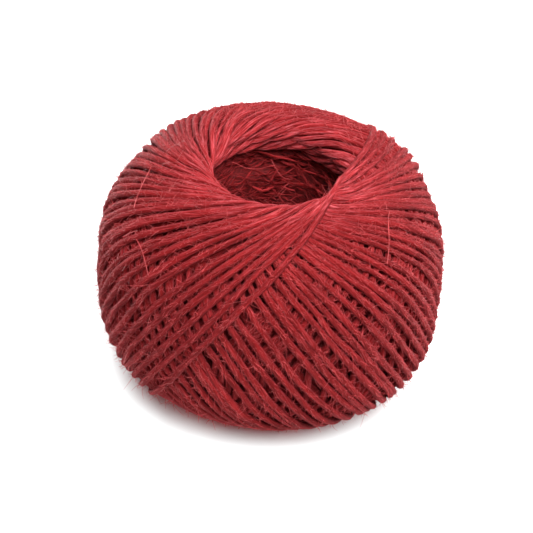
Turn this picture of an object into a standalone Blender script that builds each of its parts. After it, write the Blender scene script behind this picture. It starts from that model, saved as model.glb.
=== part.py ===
"""Ball of twine, machine wound round a spindle that has since been drawn out.

Metres, +Z up. The ball stands on the floor at z = 0, on a small flat foot, and its open
hollow runs along Z. Every turn of twine is a slanted loop that grazes the rim of the
hollow at the top on one side and at the bottom on the other. The turns step round the
ball, so its surface shows two families of lines, the turns that climb and the turns that
fall, and the newest turn parts them.
"""

import math

import bmesh
import bpy

# ---------------------------------------------------------------- driving dimensions
BALL_RADIUS = 0.0346        # of the mean surface, halfway between crests and valleys
HALF_HEIGHT = 0.0259        # of the same surface, before the hollow and the foot
SQUARENESS = 2.9            # power of the superellipse: 2 is an ellipse, more is boxier
REST_HEIGHT = 0.0244        # from the flat foot up to the middle plane

NECK_RADIUS = 0.0120        # the hollow, just under either rim
WAIST_RADIUS = 0.0135       # the hollow, at the middle plane
NECK_HEIGHT = 0.0205        # of each neck above or below the middle plane
LIP_RADIUS = 0.0150         # where the surface begins to turn into the hollow

LOOP_TILT = math.radians(33.0)   # between each loop's plane and the ball's axis
LINES = 96                  # crests and valleys round the ball, taken together
STEP = 2 * math.pi / LINES
NEWEST_LINE = -5            # where the newest turn grazes the top rim, in steps from +X
RIM_STEPS = 4               # steps of a loop, to either side of the rim, lost in the lip
LIP_ROWS = 3
WALL_HEIGHTS = (0.5, 0.0, -0.5)  # rows between the necks, as shares of NECK_HEIGHT

RIDGE_HEIGHT = 0.00042      # a crest above, or a valley below, the mean surface
FRONT_HEIGHT = 0.0009       # the newest turns above the older ones beside them
FRONT_LINES = 10            # lines behind the newest in which that height fades away
FRONT_RISE = 0.4            # power by which the front keeps its height near the rim

TWINE_RED = (0.38, 0.028, 0.042, 1.0)
TWINE_ROUGHNESS = 0.85


# ---------------------------------------------------------------- the section of the ball
def outer_point(steps):
    """Radius and height where a loop is this many steps round from where it grazes the top."""
    polar = math.atan2(math.tan(LOOP_TILT), math.cos(steps * STEP))
    across = (math.sin(polar) / BALL_RADIUS) ** SQUARENESS
    along = (abs(math.cos(polar)) / HALF_HEIGHT) ** SQUARENESS
    reach = (across + along) ** (-1 / SQUARENESS)
    return reach * math.sin(polar), reach * math.cos(polar)


def outer_normal(radius, height):
    """Direction out of the mean surface, as its radial and its upward part."""
    across = (radius / BALL_RADIUS) ** (SQUARENESS - 1) / BALL_RADIUS
    along = (abs(height) / HALF_HEIGHT) ** (SQUARENESS - 1) / HALF_HEIGHT
    length = math.hypot(across, along)
    return across / length, math.copysign(along / length, height)


def lip_points(side):
    """Rows from the outside into the neck, at the top (side 1) or underneath (side -1)."""
    crest = outer_point(RIM_STEPS)[1]
    for row in range(1, LIP_ROWS + 1):
        bend = math.pi / 2 * (1 - row / (LIP_ROWS + 1))
        radius = LIP_RADIUS - (LIP_RADIUS - NECK_RADIUS) * math.cos(bend)
        height = NECK_HEIGHT + (crest - NECK_HEIGHT) * math.sin(bend)
        yield radius, side * height


def wall_point(share):
    """The hollow's wall, which swells a little between its two necks."""
    swell = (WAIST_RADIUS - NECK_RADIUS) * (1 - share * share)
    return NECK_RADIUS + swell, share * NECK_HEIGHT


def section():
    """Rows of the closed section: the middle, up, down through the hollow and back up.

    A row is its radius, its height and its steps along a loop, or None in the hollow.
    """
    hollow = [*lip_points(1), (NECK_RADIUS, NECK_HEIGHT)]
    hollow += [wall_point(share) for share in WALL_HEIGHTS]
    hollow += [(NECK_RADIUS, -NECK_HEIGHT), *reversed(list(lip_points(-1)))]
    upper = range(LINES // 4, RIM_STEPS - 1, -1)
    lower = range(LINES // 2 - RIM_STEPS, LINES // 4, -1)
    rows = [(*outer_point(steps), steps) for steps in upper]
    rows += [(radius, height, None) for radius, height in hollow]
    rows += [(*outer_point(steps), steps) for steps in lower]
    return rows


# ---------------------------------------------------------------- the relief of the turns
def lines_behind(line, steps):
    """How many lines the climbing and the falling turn here lie behind the newest one."""
    return (NEWEST_LINE - line - steps) % LINES, (NEWEST_LINE - line + steps) % LINES


def relief(line, row, steps):
    """Height of the wound surface above the mean one, at one crossing of the lines."""
    along = math.sin(steps * STEP)
    ridge = RIDGE_HEIGHT if (line + row) % 2 == 0 else -RIDGE_HEIGHT
    front = sum(math.exp(-lag / FRONT_LINES) for lag in lines_behind(line, steps))
    return along * ridge + along ** FRONT_RISE * FRONT_HEIGHT * front


# ---------------------------------------------------------------- the solid
def clear_scene():
    for old in list(bpy.data.objects):
        bpy.data.objects.remove(old)


def twine_material():
    material = bpy.data.materials.new("twine")
    material.use_nodes = True
    shader = material.node_tree.nodes["Principled BSDF"]
    shader.inputs["Base Color"].default_value = TWINE_RED
    shader.inputs["Roughness"].default_value = TWINE_ROUGHNESS
    shader.inputs["Metallic"].default_value = 0.0
    return material


def shape_points(mesh, rows):
    """Moves the plain ring's points, one section after another, onto the wound ball."""
    for index, vertex in enumerate(mesh.vertices):
        line, row = divmod(index, len(rows))
        radius, height, steps = rows[row]
        if steps is not None:
            outward, upward = outer_normal(radius, height)
            raised = relief(line, row, steps)
            radius += raised * outward
            height += raised * upward
        azimuth = line * STEP
        standing = max(0.0, REST_HEIGHT + height)  # the foot is pressed flat
        vertex.co = (radius * math.cos(azimuth), radius * math.sin(azimuth), standing)


def crease_along_turns(mesh, rows):
    """Splits each face along the turn that is on top there, so that crests run unbroken."""
    form = bmesh.new()
    form.from_mesh(mesh)
    form.verts.ensure_lookup_table()
    points = list(form.verts)
    for line in range(LINES):
        for row in range(len(rows)):
            around, onward = (line + 1) % LINES, (row + 1) % len(rows)
            crossings = ((line, row), (around, row), (around, onward), (line, onward))
            corners = [points[a * len(rows) + b] for a, b in crossings]
            steps = rows[row][2] or 0
            climbing, falling = lines_behind(line + 0.5, steps - 0.5)
            ends = corners[0::2] if climbing <= falling else corners[1::2]
            bmesh.utils.face_split(form.faces.get(corners), *ends)
    form.to_mesh(mesh)
    form.free()


def wind_ball():
    rows = section()
    bpy.ops.mesh.primitive_torus_add(
        major_segments=LINES,
        minor_segments=len(rows),
        major_radius=(BALL_RADIUS + NECK_RADIUS) / 2,
        minor_radius=(BALL_RADIUS - NECK_RADIUS) / 2,
    )
    ball = bpy.context.object
    ball.name = "twine_ball"
    shape_points(ball.data, rows)
    crease_along_turns(ball.data, rows)
    ball.data.materials.append(twine_material())
    return ball


def main():
    clear_scene()
    parts = bpy.data.collections.new("Ball of twine")
    bpy.context.scene.collection.children.link(parts)
    ball = wind_ball()
    for holder in list(ball.users_collection):
        holder.objects.unlink(ball)
    parts.objects.link(ball)


main()
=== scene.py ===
# %% [markdown]
# # A ball of twine
# The real ball is one long length of softly spun, dyed bast-fibre twine. A machine wound
# it round a spindle in slanted loops and then drew the spindle out, which left a hollow.
# This script loads the plain solid of the ball as a fixed frame and winds the real turns
# where that solid is. Everything is in metres, +Z up, with the floor at z = 0.

# %% Load the frame
from collections import namedtuple
from types import SimpleNamespace

import bmesh
import bpy
import numpy as np
from mathutils import Euler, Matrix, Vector


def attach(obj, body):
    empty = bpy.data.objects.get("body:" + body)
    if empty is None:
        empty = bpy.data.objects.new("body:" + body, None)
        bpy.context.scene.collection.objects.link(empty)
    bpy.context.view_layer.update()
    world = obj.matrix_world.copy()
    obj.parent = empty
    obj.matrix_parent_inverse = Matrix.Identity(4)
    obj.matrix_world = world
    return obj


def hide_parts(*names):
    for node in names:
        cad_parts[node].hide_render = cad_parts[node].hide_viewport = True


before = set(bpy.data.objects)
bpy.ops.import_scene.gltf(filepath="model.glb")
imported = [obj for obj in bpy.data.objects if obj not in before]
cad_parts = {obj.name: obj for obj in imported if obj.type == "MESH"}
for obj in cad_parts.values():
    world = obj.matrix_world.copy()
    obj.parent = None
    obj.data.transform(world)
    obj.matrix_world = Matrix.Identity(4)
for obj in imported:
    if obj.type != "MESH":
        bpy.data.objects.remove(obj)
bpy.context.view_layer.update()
MM = 0.001

# %% [markdown]
# ## The camera
# The photograph was taken from about 38 degrees above the table through a long lens, so
# the ball hardly narrows with distance. The ball leans a little, and the camera is rolled
# to show that, because the ball itself stands upright on its foot. The lens shift puts the
# ball where it is in the picture.

# %% Place the camera
REST_HEIGHT = 24.4 * MM  # the ball's middle plane above the floor
VIEW_HEIGHT = np.radians(38.0)
VIEW_ROLL = np.radians(4.2)
VIEW_DISTANCE = 0.6
PICTURE_SIZE = 533  # pixels
BALL_IN_PICTURE = (270.2, 263.4)  # pixel where the ball's middle shows
PIXELS_PER_MM = 4.905  # at the ball's middle
SENSOR_WIDTH = 36.0  # mm


def add_object(name, data):
    """A new object in the scene that shows this mesh, curve, lamp or camera."""
    highlights_let_through = bpy.data.objects.new(name, data)
    bpy.context.scene.collection.objects.link(highlights_let_through)
    return highlights_let_through


def place_camera():
    camera = bpy.data.cameras.new("camera")
    camera.sensor_width = SENSOR_WIDTH
    focal_pixels = PIXELS_PER_MM * VIEW_DISTANCE / MM
    camera.lens = focal_pixels * SENSOR_WIDTH / PICTURE_SIZE
    camera.shift_x = (PICTURE_SIZE / 2 - BALL_IN_PICTURE[0]) / PICTURE_SIZE
    camera.shift_y = (BALL_IN_PICTURE[1] - PICTURE_SIZE / 2) / PICTURE_SIZE
    holder = add_object("camera", camera)
    away = Vector((0, -np.cos(VIEW_HEIGHT), np.sin(VIEW_HEIGHT)))
    holder.location = Vector((0, 0, REST_HEIGHT)) + VIEW_DISTANCE * away
    facing = Euler((np.pi / 2 - VIEW_HEIGHT, 0, 0)).to_matrix()
    rolled = Euler((0, 0, VIEW_ROLL)).to_matrix()
    holder.rotation_euler = (facing @ rolled).to_euler()
    bpy.context.scene.camera = holder
    print("lens:", round(camera.lens, 1), "mm")


place_camera()

# %% [markdown]
# ## The form that the turns lie on
# A wound ball is a body of revolution: a squat, slightly boxy round that turns over a
# rounded lip into the hollow. One way to hold such a form is a mesh. Here it is kept as
# its meridian, a line of closely spaced points from under the lip, over it, to the middle
# of the outside. Twine is then laid on it by its distance along that line, so that the
# same rule carries a turn over the outside and down into the hollow.

# %% Meridian of the ball
BALL_RADIUS = 35.05 * MM
HALF_HEIGHT = 26.6 * MM  # of the whole round, before the hollow and the foot
SQUARENESS = 3.0  # power of the superellipse: 2 is an ellipse, more is boxier
LOOP_TILT = np.radians(33.0)  # between each loop's plane and the ball's axis
NECK_RADIUS = 11.3 * MM  # of the hollow at its narrowest, just under the lip
NECK_HEIGHT = 20.0 * MM
UNDERCUT_RADIUS = 13.4 * MM  # of the hollow where its wall has drawn back below the neck
UNDERCUT_HEIGHT = 14.5 * MM
UNDERCUT_BEND = 0.45 * np.pi  # how far the lip's curve goes on below the neck
OUTER_POINTS = 400
LIP_POINTS = 200


def outer_reach(polar):
    """Distance from the ball's middle to its outside, this far round from the axis."""
    across = (np.abs(np.sin(polar)) / BALL_RADIUS) ** SQUARENESS
    along = (np.abs(np.cos(polar)) / HALF_HEIGHT) ** SQUARENESS
    return (across + along) ** (-1 / SQUARENESS)


def meridian():
    """Radius and height from under the lip, over it and out to the middle plane."""
    polar = np.linspace(LOOP_TILT, np.pi / 2, OUTER_POINTS)
    outer = np.stack([outer_reach(polar) * np.sin(polar), outer_reach(polar) * np.cos(polar)])
    crest_radius, crest_height = outer[:, 0]
    bend = np.linspace(-UNDERCUT_BEND, np.pi / 2, LIP_POINTS)[:-1]
    above = bend > 0
    depth = np.where(above, crest_height - NECK_HEIGHT, NECK_HEIGHT - UNDERCUT_HEIGHT)
    width = np.where(above, crest_radius - NECK_RADIUS, UNDERCUT_RADIUS - NECK_RADIUS)
    lip = np.stack([
        NECK_RADIUS + width * (1 - np.cos(bend)),
        NECK_HEIGHT + depth * np.sin(bend),
    ])
    points = np.concatenate([lip, outer], axis=1)
    steps = np.hypot(*np.diff(points, axis=1))
    length = np.concatenate([[0], np.cumsum(steps)])
    return points, length - length[lip.shape[1]], polar


MERIDIAN, MERIDIAN_LENGTH, OUTER_POLAR = meridian()
OUTER_LENGTH = MERIDIAN_LENGTH[-OUTER_POINTS:]


def on_meridian(length):
    """Point and outward direction, in the half plane, this far outward from the crest."""
    point = np.stack([np.interp(length, MERIDIAN_LENGTH, row) for row in MERIDIAN])
    slopes = np.gradient(MERIDIAN, MERIDIAN_LENGTH, axis=1)
    along = np.stack([np.interp(length, MERIDIAN_LENGTH, row) for row in slopes])
    along /= np.hypot(*along)
    return point, np.stack([-along[1], along[0]])


def standing(radius, azimuth, height):
    """Points this far from the axis, this far round it and above the middle plane."""
    return np.stack([
        radius * np.cos(azimuth), radius * np.sin(azimuth), height + REST_HEIGHT,
    ], axis=1)


print("meridian:", round((MERIDIAN_LENGTH[-1] - MERIDIAN_LENGTH[0]) / MM, 1), "mm")

# %% [markdown]
# ## The path of the twine
# Each turn is a loop in a plane that passes through the ball's middle, tilted from its
# axis, so it grazes the lip of the hollow at the top on one side and at the bottom on the
# other. After each turn the plane steps a little round the ball. The turns that climb and
# the turns that fall therefore cross, and whichever was laid last lies on top.
#
# How long ago a turn was laid is its lag, an angle: nothing for the newest turn, and a
# full circle for the turn that lies one round earlier. A turn's own lag and the lag of the
# turns it crosses say which is on top and how high the ball had grown. The surface steps
# down where the newest turn runs, and that step is the ridge that crosses the ball.
#
# A simulation could lay the turns one by one. The rule is used instead, because it gives
# the same layers at once and keeps the ridge where the real ball has it.

# %% Phases of the turns
CIRCLE = 2 * np.pi
TURNS = 80
SAMPLES = 240  # of each turn
TWINE_RADIUS = 0.66 * MM
NEWEST_PHASE = np.radians(-22.0)  # azimuth where the newest turn grazes the top lip
UNEVEN = 0.2  # share by which the steps from turn to turn vary
PAIRED_SHARE = 0.38  # of the turns, those that lie close against the next one
PAIR_STEP = 0.5  # what such a pair's step is, as a share of the usual one
rng = np.random.default_rng(41)


def turn_phases():
    """Azimuth where each turn grazes the top lip, oldest first, some of them in pairs."""
    steps = rng.uniform(1 - UNEVEN, 1 + UNEVEN, TURNS)
    steps[rng.random(TURNS) < PAIRED_SHARE] *= PAIR_STEP
    steps *= CIRCLE / steps.sum()
    return NEWEST_PHASE - np.cumsum(steps)[::-1] + steps[0]


PHASES = turn_phases()
print("first steps from turn to turn:", np.degrees(np.diff(PHASES)).round(1)[:6], "degrees")


# %% Curves and noise
def smoothstep(value):
    value = np.clip(value, 0, 1)
    return value * value * (3 - 2 * value)


def ramp(angle, start, end):
    """0 before the start and 1 after the end, both in degrees, and smooth between."""
    return smoothstep((np.degrees(angle) - start) / (end - start))


def bell(angle, width, middle=0):
    """1 in the middle and less to either side of it, over this width in degrees."""
    return np.exp(-((np.degrees(angle) - middle) / width) ** 2)


def eased(values, width):
    """The same values, with each sudden change spread over this many samples."""
    weights = np.hanning(width + 2)[1:-1]
    padded = np.pad(values, width // 2, mode="edge")
    return np.convolve(padded, weights / weights.sum(), "valid")


def smooth_noise(size, spacing):
    """A random curve that wanders by about 1 and turns over about this many samples."""
    knots = rng.normal(size=size // spacing + 4)
    place = np.arange(size) / spacing + 1
    low = np.floor(place).astype(int)
    ease = smoothstep(place - low)
    return knots[low] * (1 - ease) + knots[low + 1] * ease


def layered_noise(size, layers):
    """The sum of smooth noises, each given by its spacing and its strength."""
    return sum(strength * smooth_noise(size, spacing) for spacing, strength in layers)


# %% [markdown]
# ### Where a turn runs
# The offset of a place on a turn is the angle round the ball from where that turn grazes
# the nearest lip. It is negative on the way to the lip and positive past it, up to a
# right angle halfway down the ball. The last few turns are pulled round a little where
# they fall, because no later turn holds them.

# %% Course of each turn
TILT_CHANGE = np.radians(1.5)  # how much more a turn tilts where it falls again
LAST_TWIST = np.radians(10)  # how far round the last turns are pulled
TWIST_FADE = np.radians(30)  # lag over which that pull fades away
PULLED_BY = (0, 65)  # degrees past the top lip over which the pull sets in
FREE_BY = (90, 180)  # and over which it ends
RIM_WIDTH = 35  # degrees of offset, to either side, over which a lip bends a turn


def along_turns(per_turn):
    """A value for each sample of the twine, from the values in the middle of the turns."""
    steps = np.arange(per_turn.size * SAMPLES) / SAMPLES
    return np.interp(steps - 0.5, np.arange(per_turn.size), per_turn)


def loop_course(phases, cycle):
    """Lag and angles at each sample of a round: 0 is the newest round, 1 the one before."""
    steps = np.arange(phases.size * SAMPLES) / SAMPLES
    turn = (steps % 1) * CIRCLE - np.pi
    phase = along_turns(phases)
    lag = np.maximum(NEWEST_PHASE - phase, 0) + cycle * CIRCLE
    top = np.where(np.cos(turn) > 0, 1.0, -1.0)
    number = np.where(top > 0, np.floor(steps), np.rint(steps) + phases.size / 2)
    tilt = LOOP_TILT + TILT_CHANGE * np.sin(turn)
    inward = np.abs(np.cos(turn)) * np.sin(tilt)
    offset = np.arctan2(top * np.sin(turn), inward)
    polar = np.arccos(np.abs(np.cos(turn)) * np.cos(tilt))
    pulled = ramp(turn, *PULLED_BY) * (1 - ramp(turn, *FREE_BY)) * np.exp(-lag / TWIST_FADE)
    azimuth = phase + offset + np.where(top > 0, 0, np.pi) + LAST_TWIST * pulled
    return SimpleNamespace(
        turn=turn, lag=lag, top=top, number=number, tilt=tilt, offset=offset,
        polar=polar, azimuth=azimuth, rim=bell(offset, RIM_WIDTH),
    )


COURSE = loop_course(PHASES, 0)
print("turns graze the lip", np.degrees(COURSE.polar.min()).round(1), "degrees from the axis")

# %% [markdown]
# ### How high it lies
# Where two turns cross, the one that was laid later lies on top, and the other one layer
# lower. Both also lie as high as the ball had grown by then. Past the lip a turn dives
# under the turns that were laid after it, and they hide the dive.

# %% Height of each turn
LAYER = 0.98 * MM  # thickness that one layer of turns adds
LIP_LAYER = 0.5  # share by which a layer is pressed thinner at the lip
STEP_HEIGHT = 1.35 * MM  # height that the surface loses over one whole round
FRONT_SHARE = 0.38  # of that height, what is lost just behind the newest turns
FRONT_FADE = np.radians(34)
MEAN_RISE = 0.68  # the two turns' rises together, where they lie on the meridian
PRESS = 0.09 * MM  # how far an upper turn rides up on each turn that it crosses
PRESSED_DOWN = 0.6  # how far a lower turn is pressed down by one, as a share of that
PASSING = 12  # degrees of offset, to either side of the lip, over which a turn dives
HIDING = 18  # degrees over which the newer turns come to hide a turn
OLDER_LIFT = 0.5 * MM  # how much the round beneath has to rise to show in the gaps
OLDER_LIP_LIFT = 2 * LAYER - 1.3 * MM  # how much more at the lip, where layers are thin
SHOULDER = 0.3 * MM  # how far the last turns are heaped up behind the hollow
SHOULDER_LAG = 30  # degrees
SHOULDER_PLACE = 62  # degrees of offset
SHOULDER_WIDTH = 24


def surface_rise(lag):
    """How much of its layer still shows this long after the turn was laid."""
    whole = np.floor(lag / CIRCLE)
    part = lag - whole * CIRCLE
    front = FRONT_SHARE * np.exp(-part / FRONT_FADE)
    return (1 - FRONT_SHARE) * (1 - part / CIRCLE) + front - whole


def hidden_by_newer(course):
    """From 0 to 1, how far the turns that were laid later cover this place."""
    return ramp(course.lag / 2 - course.offset, 0, HIDING)


def crossing_level(course, phases, cycle):
    """Height of the twine's centre over the meridian, from the turns that it crosses."""
    own, offset, rim = course.lag, course.offset, course.rim
    other = (own - 2 * offset) % CIRCLE + np.floor(own / CIRCLE) * CIRCLE
    below = own > other
    passing = ramp(offset, -PASSING, PASSING) * hidden_by_newer(course)
    under = np.where(np.abs(offset) < np.radians(PASSING), passing, below)
    rise = STEP_HEIGHT * (surface_rise(own) + surface_rise(other) - MEAN_RISE)
    crossed = np.interp(other, NEWEST_PHASE - phases[::-1], np.arange(phases.size))
    press = PRESS * np.cos(CIRCLE * crossed) * (1 - rim) * np.where(below, -PRESSED_DOWN, 1.0)
    level = rise - TWINE_RADIUS - under * LAYER * (1 - LIP_LAYER * rim) + press
    level += cycle * (OLDER_LIFT + OLDER_LIP_LIFT * rim)
    heap = bell(own, SHOULDER_LAG) * bell(offset, SHOULDER_WIDTH, SHOULDER_PLACE)
    return level + SHOULDER * heap * (course.top > 0)


print("the surface steps down by", round(STEP_HEIGHT / MM, 2), "mm at the newest turn")

# %% [markdown]
# Far from the lips the turns run well apart. Near them there is less room than a turn
# needs, so some sink between their neighbours. The golden ratio picks them, because its
# multiples spread any share of the turns evenly.

# %% Sinking where there is little room
ROOM = 1.45 * MM  # what a turn needs to lie beside its neighbours
FEWEST_UP = 0.22  # share of the turns that stay up however little room there is
MOST_UP = 1.1  # over 1, so that all of them stay up where there is enough
SINKING = 0.12  # share of the turns that are on their way down
SETTLED = 20  # degrees of lag in which the newest turns haven't sunk yet
GOLDEN = 0.618034


def sunk_share(course, count):
    """From 0 to 1, how far a place has sunk between its neighbours for want of room."""
    slant = np.abs(np.sin(course.offset)) * np.cos(course.tilt) / np.sin(course.polar)
    pitch = CIRCLE / count * outer_reach(course.polar) * np.sin(course.polar) * slant
    room = np.clip(pitch / ROOM, FEWEST_UP, MOST_UP)
    rank = (course.number * GOLDEN) % 1
    return smoothstep((rank - room) / SINKING + 0.5) * (1 - bell(course.lag, SETTLED))


print("sunk:", f"{sunk_share(COURSE, TURNS).mean():.0%} of the newest round")

# %% [markdown]
# ### Over the lip
# Near the lip the loops crowd together. A real machine piles them on each other there, and
# the pile slides a little way into the hollow. So a turn is carried inward over the lip as
# it passes, and newer turns cover it from above.

# %% Slide and dive at the lip
RIM_SLIDE = 8.6 * MM  # how far the lip's turns slide into the hollow
SLIDE_SHARES = (0.75, 1.1)  # of that, the least and the most that a single turn makes
SLIDES_IN = (-55, 40)  # degrees of offset over which a turn slides in
SLIDES_OUT = 25  # degrees over which it comes out again, under the newer turns
LIP_SPREAD = 0.5 * MM  # how far the turns lie to and fro there
COVERED = (4, 44)  # degrees of lag over which newer turns come to hold a turn
OLDER_SLIDE = 4.6 * MM  # how much further the turns of the round beneath slid
OLDER_REACH = np.radians(50)
BURIED = 2.6 * MM  # how deep a turn dives once it has passed the lip
DIVES = (-5, 35)  # degrees of offset over which it dives
SURFACES = (60, 85)  # and over which it comes up again


def lip_slide(course, share, to_and_fro, covered, cycle):
    """How far each place has slid along the meridian, over the lip and into the hollow."""
    slide = ramp(course.offset, *SLIDES_IN) * ramp(course.lag / 2 - course.offset, 0, SLIDES_OUT)
    slide *= RIM_SLIDE * share * covered
    slide += LIP_SPREAD * to_and_fro * course.rim * covered
    return slide + cycle * OLDER_SLIDE * np.exp(-(course.offset / OLDER_REACH) ** 4)


def lip_dive(course):
    """How deep each place lies under the newer turns, just past the lip."""
    diving = ramp(course.offset, *DIVES) * hidden_by_newer(course)
    return BURIED * diving * (1 - ramp(course.offset, *SURFACES))


print("deepest dive:", round(lip_dive(COURSE).max() / MM, 1), "mm")

# %% [markdown]
# ### Out of round
# A soft ball is never quite round. This one bulges low at the right of its front and high
# at the right of its back. It has sunk in between those two, and high on the left.

# %% Bulges and hollows
OUT_OF_ROUND = [  # azimuth, spread round the ball, height, spread in height, bulge in mm
    (-30, 38, -15, 9, 1.1),
    (38, 20, 19, 6, 0.6),
    (17, 12, 13, 6, -1.2),
    (158, 12, 15, 5, -0.8),
]


def slump(azimuth, height):
    """How far the soft ball bulges here, or has sunk in where this is negative."""
    bulge = 0
    for middle, spread, level, reach, amount in OUT_OF_ROUND:
        around = np.degrees(np.angle(np.exp(1j * (azimuth - np.radians(middle)))))
        near = (around / spread) ** 2 + ((height / MM - level) / reach) ** 2
        bulge = bulge + amount * MM * np.exp(-near)
    return bulge


print("bulges:", [row[-1] for row in OUT_OF_ROUND], "mm")

# %% [markdown]
# ### Laying it
# Now the heights, the slide and the bulges come together as points. A turn bends over a
# step in its height instead of breaking, because twine is stiff, and it wavers a little.
# Its thickness changes with the slubs of a soft spin, and it is narrower where it is
# squeezed.

# %% Lay the twine along its path
STIFFNESS = 9  # samples over which a turn bends where it crosses a step
LIP_LIFT = 0.25 * MM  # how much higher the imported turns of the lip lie
SUNK = 0.9 * MM  # how deep a turn sinks under its neighbours where it has no room
SUNK_AT_LIP = 0.4  # of that depth, what is left at the lip
HELD_BACK = 0.5 * MM  # how much lower at the lip, for each whole slide that a turn lacks
LAST_INWARD = 3.2 * MM  # how far the last turns reach in over the hollow's edge
LAST_SPREAD = 15  # degrees of lag
INWARD_PLACE = 10  # degrees past the top lip
INWARD_WIDTH = 42
WAVERS = ((22, 0.12), (7, 0.04))  # spacing in samples, and size as a share of a step
LIP_WAVERS = 0.2  # of that size, what is left at the lip
SLUBS = ((9, 0.07), (40, 0.05))  # spacing in samples, and share of the thickness
OPEN_WIDTH = 1.08  # half a turn's width in the open, in twine radii
LIP_NARROWER = 0.20  # how much less that is at the lip, and its height too
SUNK_NARROWER = 0.25  # and how much less where a turn has sunk

Path = namedtuple("Path", "centre outward half_width half_height rim")


def lay_twine(phases, cycle):
    """The path of a round: centre, outward direction, half sizes and nearness to a lip."""
    course = loop_course(phases, cycle)
    rim, top = course.rim, course.top
    sunk = sunk_share(course, phases.size)
    share = along_turns(rng.uniform(*SLIDE_SHARES, phases.size))
    to_and_fro = along_turns(rng.uniform(-1, 1, phases.size))
    covered = ramp(course.lag, *COVERED)

    level = crossing_level(course, phases, cycle)
    level += LIP_LIFT * rim - SUNK * sunk * (1 - (1 - SUNK_AT_LIP) * rim)
    level -= lip_dive(course) + (SLIDE_SHARES[1] - share) * HELD_BACK * rim * covered
    level = eased(level, STIFFNESS)
    slide = lip_slide(course, share, to_and_fro, covered, cycle)
    point, normal = on_meridian(np.interp(course.polar, OUTER_POLAR, OUTER_LENGTH) - slide)
    level += slump(course.azimuth, top * point[1])

    last = bell(course.lag, LAST_SPREAD) * bell(course.turn, INWARD_WIDTH, INWARD_PLACE)
    radius = point[0] + level * normal[0] - LAST_INWARD * last * (top > 0)
    height = top * (point[1] + level * normal[1])
    wander = layered_noise(radius.size, WAVERS) * CIRCLE / phases.size
    azimuth = course.azimuth + wander * (1 - (1 - LIP_WAVERS) * rim)
    outward = np.stack([
        normal[0] * np.cos(azimuth), normal[0] * np.sin(azimuth), top * normal[1],
    ], axis=1)

    thickness = TWINE_RADIUS * (1 + layered_noise(radius.size, SLUBS))
    half_width = thickness * (OPEN_WIDTH - LIP_NARROWER * rim - SUNK_NARROWER * sunk)
    half_height = thickness * (1 - LIP_NARROWER * rim)
    return Path(standing(radius, azimuth, height), outward, half_width, half_height, rim)


newest_round = lay_twine(PHASES, 0)
spacing = np.linalg.norm(np.diff(newest_round.centre, axis=0), axis=1)
print("twine on the outside:", round(spacing.sum(), 1), "m, sampled every",
      round(spacing.mean() / MM, 2), "mm")

# %% [markdown]
# ## Rolling a sheet into twine
# A curve with a bevel would give a round tube. Real twine is squeezed by its neighbours,
# most of all at the lip, so here a flat grid is rolled up instead: one way along the grid
# is along the twine and the other goes round it. Each ring of points can then be as wide
# and as high as the twine is there.

# %% Points round the twine
SIDES = 8
LUMPS = 0.06  # how uneven the twine is round its section
MOST_LUMPS = 1.8  # as a multiple of that
FLOOR_SOFTNESS = 0.4 * MM  # height under which the floor presses the twine flat


def lumpy(count, sides):
    """Uneven thickness at each ring and side, drawn out along the twine and twisted."""
    noise = rng.normal(size=(count, sides))
    for _ in range(3):
        noise = (np.roll(noise, 1, axis=0) + noise + np.roll(noise, -1, axis=0)) / 3
    noise = (noise + 0.5 * np.roll(noise, 1, axis=1)) / noise.std()
    return 1 + LUMPS * np.clip(noise, -MOST_LUMPS, MOST_LUMPS)


def directions(path):
    """The way along the twine and the way across it, at each sample."""
    forward = np.gradient(path.centre, axis=0)
    forward /= np.linalg.norm(forward, axis=1, keepdims=True)
    return forward, np.cross(forward, path.outward)


def section_angle(side, sides):
    """How far round the section a side is, from its underside on."""
    return CIRCLE * side / sides - np.pi / 2


def section_points(path, sample, side, sides):
    """A point for each pair of a sample along the twine and a side round it."""
    forward, sideways = directions(path)
    sideways /= np.linalg.norm(sideways, axis=1, keepdims=True)
    up = np.cross(sideways, forward)
    angle = section_angle(side, sides)
    swell = lumpy(len(path.centre), sides)[sample, side % sides]
    across = (path.half_width[sample] * swell * np.cos(angle))[:, None] * sideways[sample]
    lift = (path.half_height[sample] * swell * np.sin(angle))[:, None] * up[sample]
    points = path.centre[sample] + across + lift
    low = points[:, 2] < FLOOR_SOFTNESS
    points[low, 2] = FLOOR_SOFTNESS * np.exp(points[low, 2] / FLOOR_SOFTNESS - 1)
    return points


# %% [markdown]
# The grid's own UV map follows the twine, so the fibres in its material run along it with
# a slight twist. Two attributes tell the material where it is. One paints light and shade:
# it is high along the top of a turn and low on its flanks, as painted shade from the
# neighbouring turns, and highest at the lip, where the turns are painted lighter than in
# the open. The lip is 1 where a turn grazes a lip.

# %% UV map and attributes
FIBRE_TWIST = 0.025 / MM  # turns of the fibres round the twine for each metre of it
UV_LENGTH = 10 * MM  # length of twine for each unit of the UV map
OPEN_PAINTED_LIGHT = 0.70  # painted light on top of a turn in the open, where it is 1 at the lip
OPEN_FLANK_SHADE = 0.60  # share of its painted light that a turn loses to painted shade underneath; at the lip all


def read_rows(items, field, width):
    """The values that Blender keeps in one long row, a row for each item."""
    flat = np.empty(len(items) * width)
    items.foreach_get(field, flat)
    return flat.reshape(-1, width)


def write_attributes(mesh, side, sides, rim):
    """The painted light at each point, lower on the flanks, and the lip, for the material."""
    # painted shade on the flanks from the neighbouring turns, and painted light highest at the lip
    flank_shade = 0.5 - 0.5 * np.sin(section_angle(side, sides))
    flank_shade *= OPEN_FLANK_SHADE + (1 - OPEN_FLANK_SHADE) * rim
    painted_light = (1 - flank_shade) * (OPEN_PAINTED_LIGHT + (1 - OPEN_PAINTED_LIGHT) * rim)
    for name, values in (("painted_light", painted_light), ("lip", rim)):
        mesh.attributes.new(name, "FLOAT", "POINT").data.foreach_set("value", values)


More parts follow.
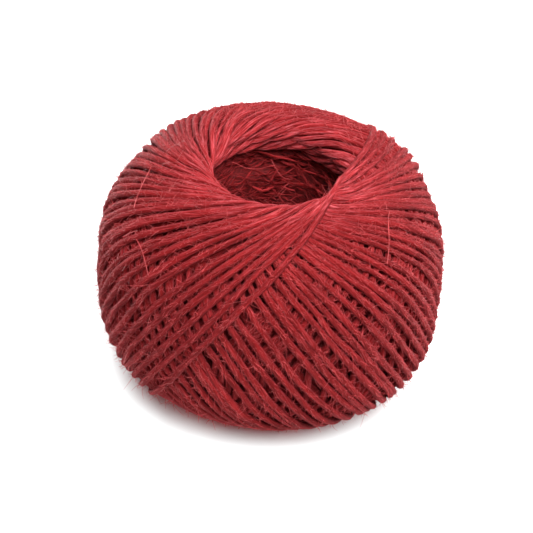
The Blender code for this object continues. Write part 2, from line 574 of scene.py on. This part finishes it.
def write_uv(mesh, centre):
    """Lays the UV map along the twine, turning slowly round it."""
    steps = np.linalg.norm(np.diff(centre, axis=0), axis=1)
    travelled = np.concatenate([[0], np.cumsum(steps)])
    layer = mesh.uv_layers["along_twine"].data
    place = read_rows(layer, "uv", 2)
    along = travelled[np.rint(place[:, 0] * (len(centre) - 1)).astype(int)]
    place[:, 1] += along * FIBRE_TWIST
    place[:, 0] = along / UV_LENGTH
    layer.foreach_set("uv", place.ravel())


# %% Roll a grid into twine
WELD = 1e-7  # how close two points are when they are one


def flat_grid(name, count, sides):
    """A unit square with a UV map, divided for each sample and for each side."""
    form = bmesh.new()
    form.loops.layers.uv.new("along_twine")
    bmesh.ops.create_grid(
        form, x_segments=count - 1, y_segments=sides, size=0.5, calc_uvs=True
    )
    mesh = bpy.data.meshes.new(name)
    form.to_mesh(mesh)
    form.free()
    return mesh


def smooth_piece(name, mesh, form):
    """An object that shows the form, smoothly shaded. The form is used up."""
    form.to_mesh(mesh)
    form.free()
    mesh.shade_smooth()
    return add_object(name, mesh)


def roll_twine(name, path, sides=SIDES):
    """A closed tube round the path, as wide and as high as the path says."""
    count = len(path.centre)
    mesh = flat_grid(name, count, sides)
    place = read_rows(mesh.vertices, "co", 3) + 0.5
    sample = np.rint(place[:, 0] * (count - 1)).astype(int)
    side = np.rint(place[:, 1] * sides).astype(int)
    mesh.vertices.foreach_set("co", section_points(path, sample, side, sides).ravel())
    write_attributes(mesh, side, sides, path.rim[sample])
    write_uv(mesh, path.centre)
    form = bmesh.new()
    form.from_mesh(mesh)
    bmesh.ops.remove_doubles(form, verts=form.verts, dist=WELD)
    ends = [edge for edge in form.edges if edge.is_boundary]
    bmesh.ops.holes_fill(form, edges=ends, sides=sides)
    return smooth_piece(name, mesh, form)


def part_of(path, samples):
    """The same path, at this slice of its samples alone."""
    return Path(*(row[samples] for row in path))


# %% [markdown]
# ## The look of the twine
# Bast fibre is a bundle of flat, slightly shiny fibres, dyed unevenly. Close up the colour
# runs in fine streaks along the twine, with paler fibres and dark lines between bundles; the
# palest, pinkish end of the streaks is painted highlight. A picture of twine could be wrapped
# on, but noise that is stretched along the twine's own UV map gives the same streaks with no
# picture. The same noise raises the fibres as bump, and sheen gives the pale bloom of the fuzz.
#
# Towards the lip the streaks show in full, painted highlights and all. In the open they are
# mixed with an even red, so the painted highlights there are fainter.

# %% Nodes
def new_material(name):
    material = bpy.data.materials.new(name)
    material.use_nodes = True
    return material, material.node_tree, material.node_tree.nodes["Principled BSDF"]


def set_inputs(node, values):
    for name, value in values.items():
        node.inputs[name].default_value = value


def attribute(tree, name):
    node = tree.nodes.new("ShaderNodeAttribute")
    node.attribute_name = name
    return node.outputs["Fac"]


def stretched_noise(tree, source, scale, detail, roughness=0.55):
    """Noise that is stretched by a scale of its own along each axis of the source."""
    mapping = tree.nodes.new("ShaderNodeMapping")
    set_inputs(mapping, {"Scale": scale})
    tree.links.new(source, mapping.inputs["Vector"])
    noise = tree.nodes.new("ShaderNodeTexNoise")
    set_inputs(noise, {"Scale": 1.0, "Detail": detail, "Roughness": roughness})
    tree.links.new(mapping.outputs["Vector"], noise.inputs["Vector"])
    return noise.outputs["Fac"]


def colour_ramp(tree, source, stops):
    """A colour for each value of the source, from stops of a place and a colour."""
    node = tree.nodes.new("ShaderNodeValToRGB")
    while len(node.color_ramp.elements) < len(stops):
        node.color_ramp.elements.new(1.0)
    for element, (place, colour) in zip(node.color_ramp.elements, stops):
        element.position = place
        element.color = (*colour, 1.0)
    tree.links.new(source, node.inputs["Fac"])
    return node.outputs["Color"]


def mix_colours(tree, how, first, second, amount=None):
    """Both colours mixed, in full unless a socket gives the amount."""
    mix = tree.nodes.new("ShaderNodeMix")
    mix.data_type = "RGBA"
    mix.blend_type = how
    mix.inputs["Factor"].default_value = 1.0
    if amount is not None:
        tree.links.new(amount, mix.inputs["Factor"])
    tree.links.new(first, mix.inputs["A"])
    tree.links.new(second, mix.inputs["B"])
    return mix.outputs["Result"]


# %% Twine material
WHITE = (1.0, 1.0, 1.0)
STREAKS = (2.7, 15.0, 1.0)  # scale of the noise along and round the twine's UV map
BUNDLES = (1.1, 4.0, 1.0)
DYE = (0.22, 0.3, 1.0)
BUNDLE_SHADES = [(0.3, (0.60, 0.56, 0.56)), (0.6, WHITE)]
DYE_SHADES = [(0.35, (0.74, 0.70, 0.72)), (0.65, WHITE)]
# painted shade: darker colour where the painted light is low, on the flanks and in the open
PAINTED_FLANK_SHADE = [(0.20, (0.38, 0.21, 0.21)), (0.69, (0.60, 0.35, 0.35)), (0.85, WHITE)]
EVEN_RED = (0.50, 0.036, 0.040)
STREAKS_AND_HIGHLIGHTS_SHOWN = [(0.0, (0.65,) * 3), (0.4, WHITE)]  # how much of the streaks and their painted highlights comes through, from the open to the lip
BUMP_HEIGHT = 0.6 * MM


def twine_material(name, stops, sheen, has_attributes):
    """Streaked red twine with painted highlights and painted shade. The lining's curves have no
    painted light or lip attribute.
    """
    material, tree, shader = new_material(name)
    uv = tree.nodes.new("ShaderNodeUVMap")
    uv.uv_map = "along_twine"
    streaks = stretched_noise(tree, uv.outputs["UV"], STREAKS, 5.0, 0.7)
    colour = colour_ramp(tree, streaks, stops)
    shades = [
        (stretched_noise(tree, uv.outputs["UV"], BUNDLES, 2.0), BUNDLE_SHADES),
        (stretched_noise(tree, uv.outputs["UV"], DYE, 2.0), DYE_SHADES),
    ]
    if has_attributes:
        # the open mixes in even red, which mutes the painted highlights of the streaks
        even = tree.nodes.new("ShaderNodeRGB")
        even.outputs[0].default_value = (*EVEN_RED, 1.0)
        highlights_let_through = colour_ramp(tree, attribute(tree, "lip"), STREAKS_AND_HIGHLIGHTS_SHOWN)
        colour = mix_colours(tree, "MIX", even.outputs[0], colour, highlights_let_through)
        # painted shade on the flanks and in the open, painted light at the lip
        shades.append((attribute(tree, "painted_light"), PAINTED_FLANK_SHADE))
    for source, shade in shades:
        colour = mix_colours(tree, "MULTIPLY", colour, colour_ramp(tree, source, shade))
    tree.links.new(colour, shader.inputs["Base Color"])

    bump = tree.nodes.new("ShaderNodeBump")
    set_inputs(bump, {"Strength": 1.0, "Distance": BUMP_HEIGHT})
    tree.links.new(streaks, bump.inputs["Height"])
    tree.links.new(bump.outputs["Normal"], shader.inputs["Normal"])
    set_inputs(shader, {
        "Roughness": 0.7,
        "Specular IOR Level": 0.10,
        "Sheen Weight": sheen,
        "Sheen Roughness": 0.3,
        "Sheen Tint": (1.0, 0.155, 0.18, 1.0),
    })
    return material


# the palest stop is painted highlight; the darker ones are the fibres' own streaked red
TWINE = twine_material("dyed_twine", [
    (0.36, (0.19, 0.006, 0.007)),
    (0.46, (0.41, 0.021, 0.024)),
    (0.54, (0.60, 0.058, 0.067)),
    (0.65, (0.90, 0.195, 0.220)),
], 0.24, True)
SHADED_TWINE = twine_material("twine_in_the_hollow", [
    (0.38, (0.17, 0.005, 0.006)),
    (0.50, (0.56, 0.019, 0.021)),
    (0.60, (1.00, 0.115, 0.125)),
], 0.06, False)

# %% Wind the newest round
BATCHES = 4


def finish_piece(piece, material):
    piece.data.materials.clear()
    piece.data.materials.append(material)
    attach(piece, "root")
    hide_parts("twine_ball")
    print(piece.name, len(piece.data.polygons), "faces")


per_batch = TURNS // BATCHES * SAMPLES
for batch in range(BATCHES):
    samples = slice(batch * per_batch, (batch + 1) * per_batch + 1)
    finish_piece(roll_twine(f"turns_{batch + 1}", part_of(newest_round, samples)), TWINE)

# %% [markdown]
# ## The round beneath
# In the gaps between the turns the round before shows, two layers down. It only has to
# fill those gaps, so it has fewer samples and sides. Under it lies a plain core, which
# stands for all the turns further in. Its colour is darker than the twine's: painted shade
# for the depth of the gaps.

# %% Wind the round beneath
UNDER_STEP = 2  # samples of the path for each ring of points
UNDER_SIDES = 6
UNDER_SHIFT = 0.25  # how far its turns lie from those above, as a share of their step

older_phases = PHASES + CIRCLE / TURNS * rng.uniform(-UNDER_SHIFT, UNDER_SHIFT, TURNS)
older_round = part_of(lay_twine(older_phases, 1), slice(None, None, UNDER_STEP))
half = len(older_round.centre) // 2
for number, samples in enumerate([slice(half + 1), slice(half, None)]):
    half_round = part_of(older_round, samples)
    finish_piece(roll_twine(f"turns_beneath_{number + 1}", half_round, UNDER_SIDES), TWINE)

# %% Core
CORE_DEPTH = 3.6 * MM
CORE_BORE = 16.2 * MM
CORE_BORE_HEIGHT = 20 * MM  # of its bore's ends, above and below the middle plane
CORE_OPENING = np.radians(38)  # from the axis to where its outside begins
CORE_POINTS = 40
CORE_STEPS = 96
CORE_GRAIN = (900, 900, 2600)  # finest along the axis, as the inner turns lie nearly level
# painted shade: the core is coloured darker than the twine, for the depth of the gaps
CORE_PAINTED_SHADE = [(0.35, (0.10, 0.004, 0.005)), (0.65, (0.36, 0.018, 0.021))]


def wind_core():
    """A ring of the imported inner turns, spun from its section."""
    polar = np.linspace(CORE_OPENING, np.pi - CORE_OPENING, CORE_POINTS)
    reach = outer_reach(polar) - CORE_DEPTH
    section = list(zip(reach * np.sin(polar), reach * np.cos(polar)))
    section += [(CORE_BORE, share * CORE_BORE_HEIGHT) for share in (-1, 0, 1)]
    form = bmesh.new()
    ring = [form.verts.new((radius, 0, height + REST_HEIGHT)) for radius, height in section]
    edges = [form.edges.new((a, b)) for a, b in zip(ring, ring[1:] + ring[:1])]
    bmesh.ops.spin(
        form, geom=ring + edges, axis=(0, 0, 1), cent=(0, 0, 0),
        angle=CIRCLE, steps=CORE_STEPS, use_merge=True,
    )
    bmesh.ops.remove_doubles(form, verts=form.verts, dist=10 * WELD)
    bmesh.ops.recalc_face_normals(form, faces=form.faces)
    return smooth_piece("core", bpy.data.meshes.new("core"), form)


def grained_material(name, scale, detail, shades, roughness):
    """A plain material whose colour follows one noise in the object's own space."""
    material, tree, shader = new_material(name)
    place = tree.nodes.new("ShaderNodeTexCoord").outputs["Object"]
    grain = stretched_noise(tree, place, scale, detail)
    tree.links.new(colour_ramp(tree, grain, shades), shader.inputs["Base Color"])
    set_inputs(shader, {"Roughness": roughness})
    return material


# the inner turns' colour, painted darker as shade
SHADED_INNER_TURNS = grained_material("shaded_inner_turns", CORE_GRAIN, 4.0, CORE_PAINTED_SHADE, 0.9)
finish_piece(wind_core(), SHADED_INNER_TURNS)

# %% [markdown]
# ## The lining of the hollow
# When the spindle was drawn out, the oldest turns along the wall of the hollow went slack.
# They run round the wall in loose, wavering lines, with finer fibres tangled in them. Each
# is a curve of its own: a stretch of an almost level ring that wanders up, down, in and
# out. Its ends tuck back into the wall, and near either neck all of it lies further back.

# %% Curves made meshes
def section_of(sides):
    """The outline, 1 mm in radius, that a fibre's curve carries along."""
    outline = bpy.data.curves.new("section", "CURVE")
    spline = outline.splines.new("POLY")
    spline.points.add(sides - 1)
    for point, angle in zip(spline.points, np.linspace(0, CIRCLE, sides, endpoint=False)):
        point.co = (MM * np.cos(angle), MM * np.sin(angle), 0, 1)
    spline.use_cyclic_u = True
    return bpy.data.objects.new("section", outline)


def curve_piece(name, lines, sides):
    """Curves with a section, made a mesh whose caps are welded on."""
    curve = bpy.data.curves.new(name, "CURVE")
    curve.dimensions = "3D"
    curve.bevel_mode = "OBJECT"
    curve.bevel_object = section_of(sides)
    curve.use_fill_caps = True
    for points, radii in lines:
        spline = curve.splines.new("POLY")
        spline.points.add(len(points) - 1)
        padded = np.concatenate([points, np.ones((len(points), 1))], axis=1)
        spline.points.foreach_set("co", padded.ravel())
        spline.points.foreach_set("radius", radii)
    holder = add_object(name, curve)
    graph = bpy.context.evaluated_depsgraph_get()
    mesh = bpy.data.meshes.new_from_object(holder.evaluated_get(graph))
    bpy.data.objects.remove(curve.bevel_object)
    bpy.data.objects.remove(holder)
    form = bmesh.new()
    form.from_mesh(mesh)
    bmesh.ops.remove_doubles(form, verts=form.verts, dist=WELD)
    return smooth_piece(name, mesh, form)


# %% Lining of the hollow
LINING_TOP = 20.0 * MM  # above and below the middle plane, where the lines begin and end
LINING_FOOT = -22.5 * MM  # below which none wanders, so that they clear the floor
LINE_STEP = 0.09  # radians round the hollow from point to point
FEWEST_POINTS = 8
SHORTEST = 0.3  # as a share of the longest
RING_SPREAD = 0.5 * MM
LINE_WAVERS = ((5, 1.0), (2, 0.35))  # spacing in points, and share of the looseness
INWARD_WAVER = 0.7  # how far the lines waver in and out, as a share of the looseness
NOISE_POINTS = 4  # from one bend to the next, in and out
END_POINTS = 4  # over which a line's end tucks back
END_TUCK = 1.0 * MM
NECK_TUCK = 2.2 * MM  # how much further back the lines near a neck lie
NECK_LINES = (12 * MM, 17 * MM)  # heights over which that sets in
THICKNESS_SPREAD = 0.4  # from line to line
THICKNESS_WAVER = 0.15  # along each line


def lining_paths(count, ring, drift, looseness, longest, thickness):
    """Stretches of nearly level rings that wander, this far from the axis."""
    paths = []
    for level in np.linspace(-LINING_TOP, LINING_TOP, count):
        span = rng.uniform(SHORTEST, 1.0) * longest
        points = max(int(span / LINE_STEP), FEWEST_POINTS)
        azimuth = rng.uniform(0, CIRCLE) + np.linspace(0, span, points)
        height = level + rng.normal(0, drift) * np.linspace(-1, 1, points)
        height += looseness * layered_noise(points, LINE_WAVERS)
        height = np.maximum(height, LINING_FOOT)
        radius = ring + rng.uniform(-RING_SPREAD, RING_SPREAD)
        radius += INWARD_WAVER * looseness * smooth_noise(points, NOISE_POINTS)
        from_end = np.minimum(np.arange(points), np.arange(points)[::-1])
        radius += END_TUCK * (1 - smoothstep(from_end / END_POINTS))
        near_neck = (abs(level) - NECK_LINES[0]) / (NECK_LINES[1] - NECK_LINES[0])
        radius += NECK_TUCK * smoothstep(near_neck)
        uneven = rng.uniform(1 - THICKNESS_SPREAD, 1 + THICKNESS_SPREAD)
        uneven = uneven * (1 + THICKNESS_WAVER * smooth_noise(points, NOISE_POINTS))
        paths.append((standing(radius, azimuth, height), thickness * uneven))
    return paths


slack_turns = lining_paths(
    300, ring=13.7 * MM, drift=1.6 * MM, looseness=0.85 * MM, longest=1.1, thickness=0.21
)
tangle = lining_paths(
    1400, ring=13.1 * MM, drift=1.2 * MM, looseness=0.8 * MM, longest=0.7, thickness=0.13
)
for name, lines, sides in (("slack_turns", slack_turns, 6), ("tangle", tangle, 3)):
    lining = curve_piece(name, lines, sides)
    lining.data.uv_layers[0].name = "along_twine"
    finish_piece(lining, SHADED_TWINE)

# %% [markdown]
# ## Fuzz
# Softly spun twine is hairy. Short fibre ends stand off every turn, mostly slanting along
# it, and longer ones curl free. Hair particles could make them, but they'd be left behind
# when the meshes are written, so each fibre is a thin curve of three or five points. The
# lip is rubbed nearly bare, and so is the underside that the ball stands on.

# %% Fuzz on the turns
BARE_RADIUS = 13 * MM  # up to here from the axis there is least fuzz
HAIRY_RADIUS = 29 * MM  # and from here on there is most
BARE_HEIGHT = 4.2 * MM
HAIRY_HEIGHT = 18.2 * MM
LEAST_AT_LIP = 0.1  # chance of a fibre there, where 1 is the most
LEAST_BELOW = 0.03
LEAN = 0.8  # radians to either side of straight up
TAPER = 0.6  # share of its thickness that a fibre loses towards its end
ROOT = 0.95  # share of the twine's half height at which a fibre is rooted
LENGTH_SHAPE = 3.0  # of the gamma distribution: few very short fibres, and a long tail
LENGTH_SHARE = 1 / 9  # the distribution's scale, as a share of the longest
ALONG = (0.5, 1.0)  # how much a fibre slants along the twine, either way
LEAST_UP = 0.05
SCATTER = 0.2
CURL = 0.4
FALL_BACK = 0.25  # how much a fibre curls back down to the twine
FLOOR_GAP = 1.5 * MM


def hairiness(centre):
    """How likely a fibre is at each sample, where 1 is the most."""
    out = (np.hypot(centre[:, 0], centre[:, 1]) - BARE_RADIUS) / (HAIRY_RADIUS - BARE_RADIUS)
    up = (centre[:, 2] - BARE_HEIGHT) / (HAIRY_HEIGHT - BARE_HEIGHT)
    return np.clip(out, LEAST_AT_LIP, 1) * np.clip(up, LEAST_BELOW, 1)


def fuzz_paths(path, count, longest, stand_off, points_each, thickest):
    """Fibres on random places of the twine, each one a slight curve."""
    forward, sideways = directions(path)
    chance = hairiness(path.centre)
    chosen = rng.choice(len(chance), count, p=chance / chance.sum())
    steps = np.linspace(0, 1, points_each)[:, None]
    thickness = thickest * (1 - TAPER * steps[:, 0])
    paths = []
    for sample, angle in zip(chosen, rng.normal(0, LEAN, count)):
        up = path.outward[sample] * np.cos(angle) + sideways[sample] * np.sin(angle)
        root = path.centre[sample] + up * path.half_height[sample] * ROOT
        length = min(rng.gamma(LENGTH_SHAPE, longest * LENGTH_SHARE), longest)
        way = forward[sample] * rng.choice([-1, 1]) * rng.uniform(*ALONG)
        way = way + up * rng.uniform(LEAST_UP, stand_off) + rng.normal(0, SCATTER, 3)
        way /= np.linalg.norm(way)
        curl = rng.normal(0, CURL, 3) - FALL_BACK * up
        points = root + length * (steps * way + steps ** 2 * curl / 2)
        if points[:, 2].min() > FLOOR_GAP:
            paths.append((points, thickness))
    return paths


FIBRE_SHADES = [(0.35, (0.37, 0.025, 0.028)), (0.65, (0.612, 0.060, 0.0648))]
FIBRE = grained_material("loose_fibres", (300, 300, 300), 2.0, FIBRE_SHADES, 0.5)
SHORT = {"count": 12000, "longest": 3.3 * MM, "stand_off": 1.3, "points_each": 3, "thickest": 0.050}
LONG = {"count": 4000, "longest": 5.6 * MM, "stand_off": 0.9, "points_each": 5, "thickest": 0.048}
for name, kind in (("short_fuzz_1", SHORT), ("short_fuzz_2", SHORT), ("long_fuzz", LONG)):
    finish_piece(curve_piece(name, fuzz_paths(newest_round, **kind), 3), FIBRE)

# %% [markdown]
# ## Single strays
# A few long fibres have come loose altogether. Four lie over the outside, about where the
# real ball has its longest. Others hang in slack arcs across the hollow's wall, and stand
# out bright against its shade.

# %% Strays
STRAY_POINTS = 16
STRAY_LIFT = 1.3 * MM  # how far a stray stands off the ball
STRAY_RADIUS = 0.07  # mm
STRAYS = [  # azimuth and height in mm where one starts and ends, and how far it bows up
    ((-176, 23.5), (-157, 20.5), 0.5),
    ((-145, 18.0), (-133, 14.5), 0.8),
    ((-151, 16.5), (-147, 19.0), 0.3),
    ((-25, 23.5), (-44, 19.0), 1.0),
]
HOLLOW_STRAYS = 18
HOLLOW_STRAY_RADIUS = 0.045  # mm
HOLLOW_STRAY_SPAN = 0.8  # radians round the hollow, either way
HOLLOW_STRAY_TOP = (9, 18)  # mm above the middle plane
HOLLOW_STRAY_DROP = (1, 7)  # mm
ARC_RADIUS = 11.2  # mm from the axis, in the middle of an arc
ARC_SAG = 2.0  # mm further out at its ends
ARC_WAVERS = (0.2, 0.4)  # mm in and out, and up and down


def stray_path(start, end, bow):
    """A slight arc over the turns between two places, each an azimuth and a height."""
    along = np.linspace(0, 1, STRAY_POINTS)
    azimuth = np.radians(start[0] + (end[0] - start[0]) * along)
    height = MM * (start[1] + (end[1] - start[1]) * along + 4 * bow * along * (1 - along))
    reach = (1 - (height / HALF_HEIGHT) ** SQUARENESS) ** (1 / SQUARENESS)
    points = standing(BALL_RADIUS * reach + STRAY_LIFT, azimuth, height)
    return points, np.full(STRAY_POINTS, STRAY_RADIUS)


def hollow_stray():
    """A bright fibre that hangs in a slack arc across part of the hollow's wall."""
    start = rng.uniform(0, CIRCLE)
    span = rng.uniform(-HOLLOW_STRAY_SPAN, HOLLOW_STRAY_SPAN)
    azimuth = start + np.linspace(0, span, STRAY_POINTS)
    top = rng.uniform(*HOLLOW_STRAY_TOP)
    drop = rng.uniform(*HOLLOW_STRAY_DROP) * np.linspace(0, 1, STRAY_POINTS)
    sag = ARC_SAG * np.linspace(-1, 1, STRAY_POINTS) ** 2
    in_and_out, up_and_down = (size * smooth_noise(STRAY_POINTS, 4) for size in ARC_WAVERS)
    radius = MM * (ARC_RADIUS + sag + in_and_out)
    height = MM * (top - drop + up_and_down)
    return standing(radius, azimuth, height), np.full(STRAY_POINTS, HOLLOW_STRAY_RADIUS)


stray_lines = [stray_path(*stray) for stray in STRAYS]
stray_lines += [hollow_stray() for _ in range(HOLLOW_STRAYS)]
finish_piece(curve_piece("strays", stray_lines, 6), FIBRE)

# %% [markdown]
# ## The stage
# A plain white table in soft studio light. The table has a light of its own, as in many a
# product photograph: it burns out to white, and the twine keeps its depth. Light linking
# does that in Blender, and the ball still casts its shadow in that light.
#
# The ball has a softbox above its front, a card to either side behind it and a broad lamp
# under the table. That lamp takes the place of the light that a white table throws back
# up, at a strength that can be set. So the table gives no bounce of its own, and it
# doesn't shade the lamp. An even, neutral sky fills in the rest.

# %% Stage and light
FLOOR_SIZE = 3.0
FLOOR_COLOUR = (0.84, 0.9, 0.9, 1)
SKY_COLOUR = (0.94, 0.94, 0.94, 1)
SKY_STRENGTH = 0.34
BALL_LAMPS = {  # place and size in metres, and power in watts
    "softbox": ((0.18, -0.40, 0.82), 0.6, 17.8),
    "table_bounce": ((0.0, -0.30, -0.50), 1.0, 5.2),
    "left_card": ((-0.45, 0.50, -0.05), 0.5, 7.5),
    "right_card": ((0.56, 0.36, -0.05), 0.5, 4.4),
}
TABLE_LAMP = ((0.13, -0.04, 0.70), 1.5, 42.0)


def add_floor():
    form = bmesh.new()
    bmesh.ops.create_grid(form, x_segments=1, y_segments=1, size=FLOOR_SIZE)
    mesh = bpy.data.meshes.new("floor")
    form.to_mesh(mesh)
    form.free()
    floor = add_object("floor", mesh)
    material, _, shader = new_material("pale_floor")
    set_inputs(shader, {
        "Base Color": FLOOR_COLOUR, "Roughness": 0.9, "Specular IOR Level": 0.1,
    })
    mesh.materials.append(material)
    floor.visible_diffuse = False
    floor.visible_glossy = False
    floor.visible_shadow = False
    return floor


def add_lamp(name, place, size, power):
    """A round area lamp that faces the middle of the ball."""
    lamp = bpy.data.lights.new(name, "AREA")
    lamp.shape = "DISK"
    lamp.size = size
    lamp.energy = power
    holder = add_object(name, lamp)
    holder.location = place
    towards = Vector((0, 0, REST_HEIGHT)) - Vector(place)
    holder.rotation_euler = towards.to_track_quat("-Z", "Y").to_euler()
    return holder


def link_lamp(lamp, piece, state):
    """INCLUDE makes the light fall on this piece alone, and EXCLUDE on all but this one."""
    linked = bpy.data.collections.new(f"{state.lower()}_{lamp.name}")
    linked.objects.link(piece)
    linked.collection_objects[0].light_linking.link_state = state
    lamp.light_linking.receiver_collection = linked


def add_sky():
    world = bpy.data.worlds.new("studio")
    world.use_nodes = True
    background = world.node_tree.nodes["Background"]
    set_inputs(background, {"Color": SKY_COLOUR, "Strength": SKY_STRENGTH})
    bpy.context.scene.world = world


floor = add_floor()
for name, settings in BALL_LAMPS.items():
    link_lamp(add_lamp(name, *settings), floor, "EXCLUDE")
link_lamp(add_lamp("table_light", *TABLE_LAMP), floor, "INCLUDE")
add_sky()
bpy.context.scene.view_settings.view_transform = "Standard"
